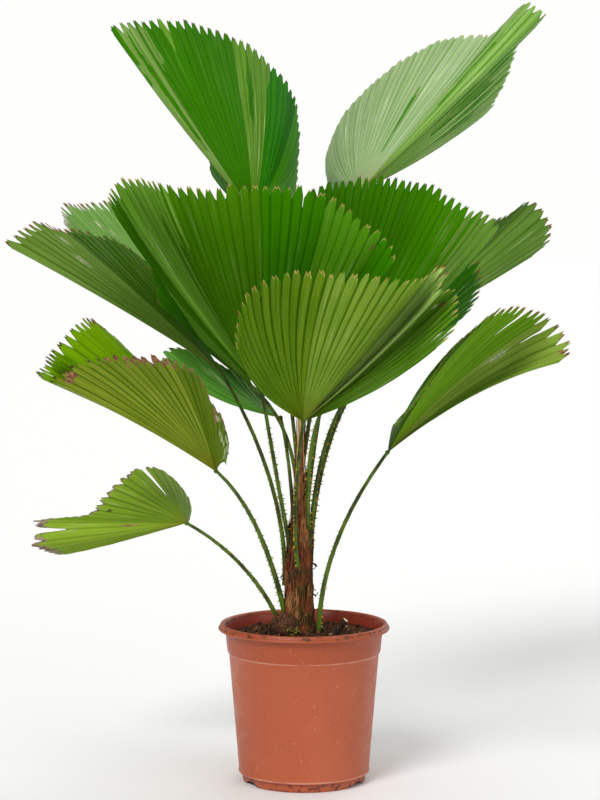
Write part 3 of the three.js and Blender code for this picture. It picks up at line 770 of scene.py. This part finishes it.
def leafMaterial(name):
    *colour, parted, scuffsAndSheen, lines, roughness = leafTones[name]
    colour = tint(*colour)
    material, shader = startMaterial(name, roughness, fanStyle["gloss"])
    shader.inputs["IOR"].default_value = fanStyle["ior"]
    shader.inputs["Specular Tint"].default_value = fanStyle["glossTint"]
    # painted light and shade of the folds: each pleat's flat band is lighter, as lit, and its valley darker, as
    # shade; these two tones also serve the veins and patches
    band = toned(colour, 1 + 0.45 * parted, 1 + 0.3 * parted, 1 + 0.9 * parted)
    valleyShadeTone = toned(colour, 1 - 0.6 * parted, 1 - 0.4 * parted, 1 - 0.9 * parted)
    veinAndCreaseShade = toned(valleyShadeTone, 0.5, 0.5, 0.4)
    uv = tree.nodes.new("ShaderNodeUVMap")
    uv.uv_map = "fan"
    split = tree.nodes.new("ShaderNodeSeparateXYZ")
    tree.links.new(uv.outputs[0], split.inputs[0])
    unit = times(split.outputs[0], fanStyle["uvUnits"])
    along = split.outputs[1]

    def streaks(across, lengthways, detail=2):
        return cloud(combined(times(unit, across), times(along, lengthways)), 1, detail)

    off = calc("ABSOLUTE", calc("SUBTRACT", calc("FRACT", unit), 0.5))
    wander = times(calc("SUBTRACT", streaks(2.4, 2.4), 0.5), 0.3)
    base = over(band, valleyShadeTone, calc("ADD", off, wander), 0.2, 0.42)
    # each pleat has a shade of its own, and broad clouds and long streaks cross several
    own = tree.nodes.new("ShaderNodeTexWhiteNoise")
    own.noise_dimensions = "1D"
    tree.links.new(calc("FLOOR", unit), own.inputs["W"])
    # veins run out from the hub: broad, coarse and fine ones, and the last row paints shade along the bottom of each
    # valley
    broad, coarse, fine = streaks(1.7, 0.7, 3), streaks(5.5, 0.9, 3), streaks(14, 1.6)
    for colourOver, value, low, high, most in (
            (valleyShadeTone, own.outputs["Value"], 0, 1, 0.3),
            (valleyShadeTone, cloud(objectPlace(), 14, 2), 0.35, 0.7, 0.35),
            (band, streaks(0.7, 1.1), 0.5, 0.72, 0.4),
            (valleyShadeTone, broad, 0.53, 0.68, 0.5 * lines),
            (toned(band, 1.2, 1.1, 1.2), broad, 0.46, 0.32, 0.5 * lines),
            (veinAndCreaseShade, coarse, 0.5, 0.66, 0.4 * lines),
            (toned(band, 1.25, 1.12, 1.3), coarse, 0.44, 0.3, 0.35 * lines),
            (veinAndCreaseShade, fine, 0.48, 0.66, 0.3 * lines),
            (veinAndCreaseShade, off, 0.46, 0.5, 0.5 * lines)):
        base = over(base, colourOver, value, low, high, most)
    # a pale line at the valley's edge, and olive and darker at the hub
    edge = times(ramp(off, 0.27, 0.3), ramp(off, 0.34, 0.31))
    base = mixed(times(edge, 0.45), base, toned(band, 1.5, 1.25, 1.2))
    base = over(base, toned(colour, 1.0, 0.68, 0.8), along, 0.24, 0.02, 0.75)
    # pale scuffs and painted sheen streaks further out
    gloss = calc("MAXIMUM", ramp(streaks(2.6, 2.2, 3), 0.58, 0.76),
                 ramp(streaks(7, 1.3, 2), 0.6, 0.74, 0, 0.8))
    gloss = times(gloss, ramp(along, 0.1, 0.4))
    base = mixed(times(gloss, scuffsAndSheen), base, fanStyle["scuff"])
    tree.links.new(base, shader.inputs["Base Color"])
    addRelief(shader, calc("ADD", fine, times(coarse, 0.7)), 0.0005, 0.4)
    return material


def dryMaterial(name):
    light, dark = dryTones[name]
    return mottledMaterial(name + "Edge", tint(*light), tint(*dark), 0.8, 0.1, 240, 4, 0.36, 0.64,
                           (600, 3, 0.0004, 0.5))


toneNames = list(leafTones) + list(dryTones)
toneMaterials = [leafMaterial(name) for name in leafTones] + [dryMaterial(name) for name in dryTones]

# each frond: its hub and reach in mm, and its stalk, whose foot is (bearing, height, share of the trunk's radius).
# ribs are (bearing, rise), swell and arch bow the blade, and notch is how deep its teeth are. tones run to a share
# of the width, with an upper side and an underside, tips are (chance, shortest, longest, tone), slits (place, from
# which share out, gap) and ragged (from, to, loss, edge, tone). marks are a tone and its spots (place, share of
# the reach, half width, half depth)
fans = {}
fans["front"] = dict(
    hub=(-1, -125, 463.5), reach=255, swell=0.36, foot=(-80, 252, 0.65), leave=88, bend=0.3, sway=-15, thick=3.4,
    ribs=[(-109, 23), (-110, 30), (-108, 41), (-97, 46), (-77, 46), (-60, 44), (-44.5, 43.5), (-16, 48.5), (-19, 45),
          (-35.5, 40), (-27, 38.5), (-37.5, 29.5), (-45, 24.5)],
    notch=24, tips=(0.8, 0.8, 3, "tipAmber"),
    tones=[(0.3, "plainLeaf", "frontShade"), (0.58, "plainLeaf", "frontPale"), (0.69, "plainLeaf", "frontFold"),
           (0.78, "plainLeaf", "frontSheen"), (1, "vividLeaf", "frontDeep")],
    slits=[(0.885, 0.84, 3), (0.93, 0.8, 4), (0.965, 0.82, 3)],
    ragged=[(0.6, 0.7, 3, 4, "tipBrown")],
    marks=[("scuff", (0.815, 0.86, 0.012, 0.03)), ("tipBrown", (0.84, 0.9, 0.008, 0.02), (0.07, 1, 0.08, 0.014))])
fans["front_left"] = dict(
    hub=(-51.5, -50, 494), reach=322, swell=0.3, foot=(-160, 292, 0.82), leave=78, bend=0.46, sway=-6, thick=3.4,
    ribs=[(-141, 45), (-151.5, 52), (-140, 54), (-123.5, 51.5), (-107, 50.5), (-91, 51), (-76, 49.5), (-66.5, 47),
          (-60, 40), (-55.5, 35.5), (-56.5, 30.5)],
    notch=20, fold=0.048, tips=(0.8, 1, 3, "tipAmber"),
    tones=[(0.1, "highLeaf", "foldShade"), (0.28, "highLeaf", "glossBand"), (0.6, "highLeaf", "plainLeaf"),
           (0.74, "highLeaf", "vividLeaf"), (0.9, "highLeaf", "flapLeaf"), (1, "highLeaf", "vividLeaf")],
    slits=[(0.708, 0.95, 0.3)],
    marks=[("tipBrown", (0.125, 0.65, 0.004, 0.012), (0.904, 0.9, 0.003, 0.03)),
           ("glossBand", (0.3, 0.82, 0.009, 0.22), (0.33, 0.9, 0.007, 0.16)),
           ("plainLeaf", (0.245, 0.5, 0.009, 0.3))])
fans["left"] = dict(
    hub=(-103.5, 0, 515.5), reach=318, swell=-0.06, arch=0.05, foot=(180, 246, 1.1), leave=89, bend=0.44, sway=8,
    thick=3.6,
    ribs=[(-101, 17.5), (-104.5, 25.5), (-113, 31.5), (-123, 33.5), (-133, 34.5), (-145, 36), (-155, 33.5),
          (-160, 30)],
    notch=17, fold=0.07, tips=(0.7, 1.5, 5, "tipBrown"),
    tones=[(0.58, "highLeaf", "leftShade"), (1, "highLeaf", "leftPale")],
    ragged=[(0.6, 0.76, 4, 2.5, "tipBrown")],
    marks=[("scuff", (0.8, 0.74, 0.02, 0.03), (0.74, 0.88, 0.02, 0.02), (0.9, 0.66, 0.01, 0.02))])
fans["left_back"] = dict(
    hub=(-66, 50, 491.5), reach=336, swell=0.08, foot=(115, 316, 0.8), leave=88, bend=0.66, sway=13, thick=3,
    ribs=[(146.5, 32.5), (172, 43), (156, 44), (145, 44.5), (134.5, 43), (123.5, 40.5), (113.5, 40.5), (102, 38.5)],
    notch=20, fold=0.07, tips=(0.8, 2, 6, "tipBrown"),
    tones=[(1, "bluish", "backPale")],
    marks=[("scuff", (0.42, 0.88, 0.014, 0.02), (0.47, 0.84, 0.01, 0.03)), ("leftShade", (0.5, 0.15, 0.9, 0.5))])
fans["high_left"] = dict(
    hub=(-63.5, 70, 710), reach=316, swell=0.28, foot=(130, 378, 0.6), leave=86, sway=-5, thick=3,
    ribs=[(102.5, 10.5), (106, 26), (122.5, 38), (149, 48), (156, 49.5), (151.5, 52), (137.5, 53.5), (119.5, 54),
          (100.5, 50), (89, 43.5), (80, 33.5), (78.5, 22.5), (79, 12), (80, 5)],
    notch=18, fold=0.055, tips=(0.6, 1.5, 4, "tipDark"),
    tones=[(0.3, "highLeaf", "plainLeaf"), (0.455, "highStrip", "plainLeaf"), (0.655, "highLeaf", "plainLeaf"),
           (0.72, "highRidge", "plainLeaf"), (0.84, "highDeep"), (1, "highEdge")],
    ragged=[(0.9, 1, 9, 8, "tipBrown")],
    marks=[("highLeaf", (0.365, 0.9, 0.004, 0.24), (0.39, 0.6, 0.005, 0.3), (0.415, 0.92, 0.005, 0.24),
            (0.435, 0.62, 0.007, 0.32)), ("highStrip", (0.475, 0.86, 0.007, 0.2)),
           ("highRidge", (0.52, 0.96, 0.008, 0.1)), ("highLeaf", (0.69, 0.66, 0.008, 0.22)),
           ("highRidge", (0.74, 0.9, 0.008, 0.14))])
fans["high_right"] = dict(
    hub=(69, 45, 738), reach=335, swell=0.3, foot=(50, 386, 0.6), leave=82, sway=2, thick=3,
    ribs=[(95.5, 2), (97, 8), (94, 16.5), (87.5, 25), (76.5, 33), (62, 38.5), (46.5, 39), (36, 43), (21, 46.5),
          (15, 42.5), (35.5, 36.5), (42.5, 31), (49, 24.5), (54.5, 19.5)],
    notch=11, fold=0.055, tips=(0.4, 1.5, 3, "tipAmber"),
    tones=[(0.64, "mint", "mintShade"), (1, "mintShade")],
    marks=[("mintPatch", (0.625, 0.7, 0.005, 0.14), (0.648, 0.6, 0.006, 0.2), (0.84, 0.72, 0.014, 0.22),
            (0.875, 0.66, 0.011, 0.24), (0.905, 0.74, 0.01, 0.18), (0.94, 0.6, 0.01, 0.16),
            (0.72, 0.6, 0.018, 0.24), (0.76, 0.64, 0.018, 0.22), (0.4, 0.45, 0.008, 0.16))])
fans["right_upper"] = dict(
    hub=(39, 8, 490), reach=316, swell=0.25, foot=(-40, 318, 1.2), leave=88, bend=0.77, sway=-11, thick=3.2,
    ribs=[(-100, 52.5), (-88.5, 55.5), (-70, 57), (-51.5, 54), (-44, 46.5), (-34.5, 41)],
    notch=15, pleatWidth=9.6, fold=0.042, tips=(0.6, 1.5, 3, "tipDark"),
    tones=[(0.8, "highLeaf", "upperLeaf"), (1, "highLeaf", "upperPale")],
    marks=[("upperPale", (0.775, 0.85, 0.007, 0.3), (0.742, 0.95, 0.006, 0.16)),
           ("upperLeaf", (0.825, 0.62, 0.007, 0.24), (0.86, 0.9, 0.005, 0.2))])
fans["right_middle"] = dict(
    hub=(62, 50, 490.5), reach=262, swell=0.1, foot=(-5, 286, 0.9), leave=84, bend=0.66, sway=-6, thick=3,
    ribs=[(78, 48), (52, 50), (38, 45), (36.5, 36), (41.5, 27), (49.5, 19.5)],
    notch=28, tips=(0.5, 1.5, 4, "tipBrown"),
    tones=[(1, "shade")])
fans["right_back"] = dict(
    hub=(125, 130, 556), reach=300, swell=0.15, foot=(32, 268, 1), leave=90, bend=0.62, sway=7, thick=3.2,
    ribs=[(71, 24.5), (59.5, 28.5), (51, 31.5), (41.5, 35), (37, 29.5), (40, 23), (46, 19.5)],
    notch=16, fold=0.06, tips=(0.7, 1.5, 5, "tipBrown"),
    tones=[(1, "backPale", "leftShade")])
fans["right_low"] = dict(
    hub=(103.5, -20, 415.5), reach=268, swell=-0.05, arch=0.2, foot=(-25, 189, 1.46), leave=86, bend=0.46, sway=-7,
    thick=3.8,
    ribs=[(-90, 12.5), (-82.5, 21), (-74.5, 31), (-63.5, 38.5), (-49, 44), (-31, 43), (-20, 39), (-18, 32.5),
          (-25.5, 28)],
    notch=21, fold=0.07, tips=(0.85, 1.5, 5, "tipBrown"),
    tones=[(0.5, "lowLeaf", "lowShade"), (0.8, "lowLeaf"), (1, "lowPale")],
    slits=[(0.715, 0.82, 4), (0.845, 0.84, 4)],
    marks=[("scuff", (0.83, 0.65, 0.012, 0.05)), ("tattered", (0.954, 0.95, 0.01, 0.02))])
fans["left_low"] = dict(
    hub=(-108.5, -40, 394.5), reach=252, swell=0.05, arch=0.12, foot=(190, 190, 0.66), leave=78, bend=0.67,
    thick=4.6,
    ribs=[(-85, 8), (-84.5, 13.5), (-86, 20), (-89.5, 25.5), (-92, 31), (-97.5, 35.5), (-107.5, 38.5), (-122.5, 38),
          (-140.5, 34.5), (-152.5, 28.5), (171.5, 30), (-176.5, 36.5), (-177, 44.5), (163.5, 48.5), (136.5, 40.5),
          (123.5, 33)],
    notch=18, fold=0.075, tips=(0.8, 1.5, 5, "tipDark"),
    tones=[(0.2, "highLeaf", "yellowShade"), (0.45, "highLeaf", "yellowLeaf"), (1, "brightLeaf", "yellowShade")],
    ragged=[(0.2, 0.29, 7, 20, "tattered"), (0.1, 0.2, 3, 8, "tattered"), (0.78, 0.88, 3, 5, "tipBrown")],
    marks=[("greyBrown", (0.02, 0.9, 0.02, 0.05)),
           ("tattered", (0.4, 0.94, 0.014, 0.035), (0.095, 0.74, 0.008, 0.14), (0.304, 0.97, 0.02, 0.012)),
           ("scuff", (0.03, 0.86, 0.018, 0.05)), ("tattered", (0.07, 0.94, 0.02, 0.02)),
           ("scuff", (0.062, 0.6, 0.014, 0.05), (0.022, 0.64, 0.018, 0.07), (0.085, 0.8, 0.006, 0.06))])
fans["left_lowest"] = dict(
    hub=(-147, 0, 324.5), reach=212, swell=0.1, foot=(170, 190, 1.04), leave=64, bend=0.54, sway=6, thick=3.6,
    ribs=[(92, -4.5), (91.5, 1), (97, 8.5), (105, 13.5), (114.5, 12.5), (123, 6.5), (132, -1.5), (146.5, -2),
          (163, -2), (164.5, -10.5), (148, -15.5), (131, -14.5)],
    notch=13, fold=0.07, tips=(0.9, 2, 7, "greyBrown"),
    tones=[(0.5, "limeShade"), (1, "limeLeaf")],
    slits=[(0.217, 0.45, 5), (0.696, 0.8, 7)],
    ragged=[(0.26, 0.52, 15, 8, "greyBrown"), (0.6, 0.85, 9, 20, "greyBrown")],
    marks=[("tipDark", (0.412, 0.8, 0.008, 0.02)),
           ("tattered", (0.69, 0.33, 0.006, 0.07), (0.62, 0.4, 0.004, 0.08))])
fans["back_low_left"] = dict(
    hub=(-29.5, 40, 453.5), reach=222, swell=0.2, arch=-0.18, foot=(150, 306, 0.65), leave=86, bend=0.6, thick=3,
    ribs=[(139.5, 15.5), (138.5, 20.5), (130.5, 21), (119, 17.5), (112, 14), (104, 10), (98.5, 6)],
    notch=14, tips=(0.3, 1.5, 3, "tipDark"),
    tones=[(1, "lowBluish", "leftShade")])
fans["back"] = dict(
    hub=(4, 120, 500), reach=275, swell=0.2, foot=(90, 262, 0.6), leave=80, thick=3.4,
    ribs=[(140, 24), (122, 36), (105, 44), (86, 45), (66, 40), (50, 28)],
    notch=19, tips=(0.6, 1.5, 5, "tipBrown"),
    tones=[(0.5, "highLeaf", "plainLeaf"), (1, "upperLeaf", "frontShade")])
fans["back_low"] = dict(
    hub=(22, 90, 462), reach=245, swell=0.15, foot=(75, 224, 0.6), leave=82, thick=3.6,
    ribs=[(104, 14), (97, 25), (84, 29), (70, 27), (58, 18)],
    notch=17, tips=(0.6, 1.5, 5, "tipDark"),
    tones=[(1, "highLeaf", "plainLeaf")])


def ribSpread(ribs):  # a smooth sweep of directions through the guide ribs, and how far it turns
    ways = [pointing(bearing, rise) for bearing, rise in ribs]
    ways = [ways[0] * 2 - ways[1]] + ways + [ways[-1] * 2 - ways[-2]]
    fine = []
    for p0, p1, p2, p3 in zip(ways, ways[1:], ways[2:], ways[3:]):
        for step in range(80):
            t = step / 80
            fine.append(p1 + (p2 - p0) * 0.5 * t + (p0 - p1 * 2.5 + p2 * 2 - p3 * 0.5) * t ** 2
                        + (p1 * 1.5 - p0 * 0.5 - p2 * 1.5 + p3 * 0.5) * t ** 3)
    fine.append(ways[-2])
    travelled = [0]
    for first, second in zip(fine, fine[1:]):
        travelled.append(travelled[-1] + (second - first).length)

    def wayAt(share):
        goal = min(max(share, 0), 1) * travelled[-1]
        low = min(bisect_right(travelled, goal) - 1, len(travelled) - 2)
        part = (goal - travelled[low]) / max(1e-9, travelled[low + 1] - travelled[low])
        return fine[low].lerp(fine[low + 1], part).normalized()
    return wayAt, travelled[-1]


def makeFan(name, spec):
    draw = random.Random("fan " + name)
    hub, reach, across, levels = Vector(spec["hub"]), spec["reach"], fanStyle["across"], fanStyle["rows"]
    perUnit = len(across)
    wayAt, turned = ribSpread(spec["ribs"])
    pleatWidth = spec.get("pleatWidth", fanStyle["pleatWidth"])
    units = max(3, round(turned * reach / pleatWidth))
    columns, rows, half = units * perUnit, len(levels) - 1, perUnit // 2
    shift = [0] + [draw.uniform(-fanStyle["shift"], fanStyle["shift"]) for _ in range(units - 1)] + [0]
    stretch = [1 + draw.gauss(0, fanStyle["stretch"]) for _ in range(units + 1)]
    deeper = [draw.uniform(*fanStyle["deeper"]) for _ in range(units + 1)]
    tilts = [draw.uniform(-1, 1) * fanStyle["tilt"] for _ in range(units + 1)]
    tipChance, tipShort, tipLong, tipTone = spec["tips"]
    tipDepth = [draw.uniform(tipShort, tipLong) * (draw.random() < tipChance) for _ in range(2 * units + 2)]
    places, ways, lengths = [], [], []  # place of a column in units, its way out, its length
    for column in range(columns + 1):
        unit, part = divmod(column, perUnit)
        places.append(unit + across[part])
        nearer = lerp(shift[unit], shift[min(unit + 1, units)], across[part])
        ways.append(wayAt((places[-1] + nearer) / units))
        notch = spec["notch"] * deeper[unit if part < half else min(unit + 1, units)]
        lengths.append(reach * stretch[unit] - notch * fanStyle["teeth"][part])
    for low, high, loss, _, _ in spec.get("ragged", []):
        for column in range(columns + 1):
            if low <= places[column] / units <= high:
                torn = 0.5 + 0.9 * wobble(column * 0.13, reach, 0) + draw.uniform(-0.25, 0.25)
                lengths[column] -= loss * min(1, max(0, torn))
    slits = [(min(columns - perUnit, max(perUnit, round(place * units) * perUnit)), opened, gap)
             for place, opened, gap in spec.get("slits", [])]
    middle = sum(ways, Vector()).normalized()

    def onSheet(column, share):
        way = ways[column]
        sideways = (ways[min(columns, column + 1)] - ways[max(0, column - 1)]).normalized()
        point = hub + way * lerp(fanStyle["start"], lengths[column], share)
        point += (way - middle * way.dot(middle)) * reach * spec["swell"] * share * (1 - share)
        point.z += reach * spec.get("arch", 0) * share * (1 - share)
        for slit, opened, gap in slits:
            if abs(column - slit) < 30 and share > opened:
                push = gap / 2 * (share - opened) / (1 - opened) * exp(-abs(column - slit - 0.5) / 8)
                point += sideways * push * (1 if column > slit else -1)
        return point

    base = [[onSheet(column, share) for share in levels] for column in range(columns + 1)]
    normals, widths, raised = {}, {}, 0
    for column in range(columns + 1):
        before, after = base[max(0, column - half)], base[min(columns, column + half)]
        for row, share in enumerate(levels):
            sideways = after[row] - before[row]
            along = base[column][min(rows, row + 1)] - base[column][max(0, row - 1)]
            normals[column, row] = sideways.cross(along).normalized()
            widths[column, row] = min(sideways.length, pleatWidth)
            raised += normals[column, row].z * share
    upward = 1 if raised > 0 else -1

    bm = bmesh.new()
    uvLayer = bm.loops.layers.uv.new("fan")
    otherSide = bm.faces.layers.int.new("otherSide")
    grid = layGrid(bm, columns, rows)
    cell = {vert: key for key, vert in grid.items()}
    for (column, row), vert in grid.items():
        share, (unit, part) = levels[row], divmod(column, perUnit)
        pleat = fanStyle["pleat"][part] * spec.get("fold", fanStyle["fold"]) * (0.65 + 0.35 * deeper[unit])
        pleat += tilts[unit] * (across[part] - 0.5) * 2 * (1 - abs(2 * across[part] - 1) ** 3)
        spot = Vector((places[column] * 0.22, share * 1.6, reach))
        wave = fanStyle["wave"] * share * noise.noise(spot) + 0.35 * noise.noise(spot * 5)
        vert.co = (base[column][row] + normals[column, row] * upward * (wave - pleat * widths[column, row])) * mm
    for edge in bm.edges:
        firstColumn, lastColumn = (cell[vert][0] for vert in edge.verts)
        if firstColumn == lastColumn and firstColumn % perUnit in fanStyle["creases"]:
            edge.smooth = False

    used = []

    def toneIndex(tone):
        if tone not in used:
            used.append(tone)
        return used.index(tone)

    for face in bm.faces:
        column = min(cell[vert][0] for vert in face.verts)
        row = min(cell[vert][1] for vert in face.verts)
        share = (levels[row] + levels[row + 1]) / 2
        place = (places[column] + places[column + 1]) / 2 / units
        length = (lengths[column] + lengths[column + 1]) / 2
        out, left = share * length, (1 - share) * length
        unit, part = divmod(column, perUnit)
        uneven = (unit + 0.5) / units + tilts[unit] * 0.3
        names = next(names for limit, *names in spec["tones"] if uneven <= limit or limit == 1)
        upper, under = names[0], names[-1]
        if 1 < part < 6 and left < tipDepth[2 * unit + (part > 3)]:
            upper = under = tipTone
        blot = wobble(place * units * 0.8, out * 0.03, reach + 3)
        blot += 0.7 * wobble(column * 0.45, out * 0.01, 8)  # feathered along the veins
        for tone, *spots in spec.get("marks", []):
            for at, outAt, wide, deep in spots:
                if ((place - at) / wide) ** 2 + ((out / reach - outAt) / deep) ** 2 < 1 + 1.1 * blot:
                    upper = under = tone
        for low, high, _, edge, tone in spec.get("ragged", []):
            if low <= place <= high and left < edge * (0.6 + 0.8 * wobble(column * 0.21, row, 7)):
                upper = under = tone
        face.material_index = toneIndex(upper)
        face[otherSide] = toneIndex(under)
        face.smooth = True
        for loop in face.loops:
            atColumn, atRow = cell[loop.vert]
            loop[uvLayer].uv = (places[atColumn] / fanStyle["uvUnits"],
                                levels[atRow] * lengths[atColumn] / reach)
    torn = [face for face in bm.faces for slit, opened, _ in slits
            if min(cell[vert][0] for vert in face.verts) == slit
            and levels[min(cell[vert][1] for vert in face.verts)] >= opened]
    bmesh.ops.delete(bm, geom=torn, context="FACES")
    if upward < 0:
        bmesh.ops.reverse_faces(bm, faces=bm.faces[:])
    bm.normal_update()
    upperFaces = set(bm.faces)
    upperVerts = set(bm.verts)
    bmesh.ops.solidify(bm, geom=bm.faces[:], thickness=fanStyle["thickness"] * mm)
    for face in bm.faces:
        if face in upperFaces:
            continue
        if sum(vert not in upperVerts for vert in face.verts) == 4:
            face.material_index = face[otherSide]
        else:
            for edge in face.edges:
                edge.smooth = False
    finishPiece(name + "Fan", bm, [toneMaterials[toneNames.index(tone)] for tone in used], "fan_" + name)


for name, spec in fans.items():
    makeStalk(name, spec)
    makeFan(name, spec)
print("fronds done")
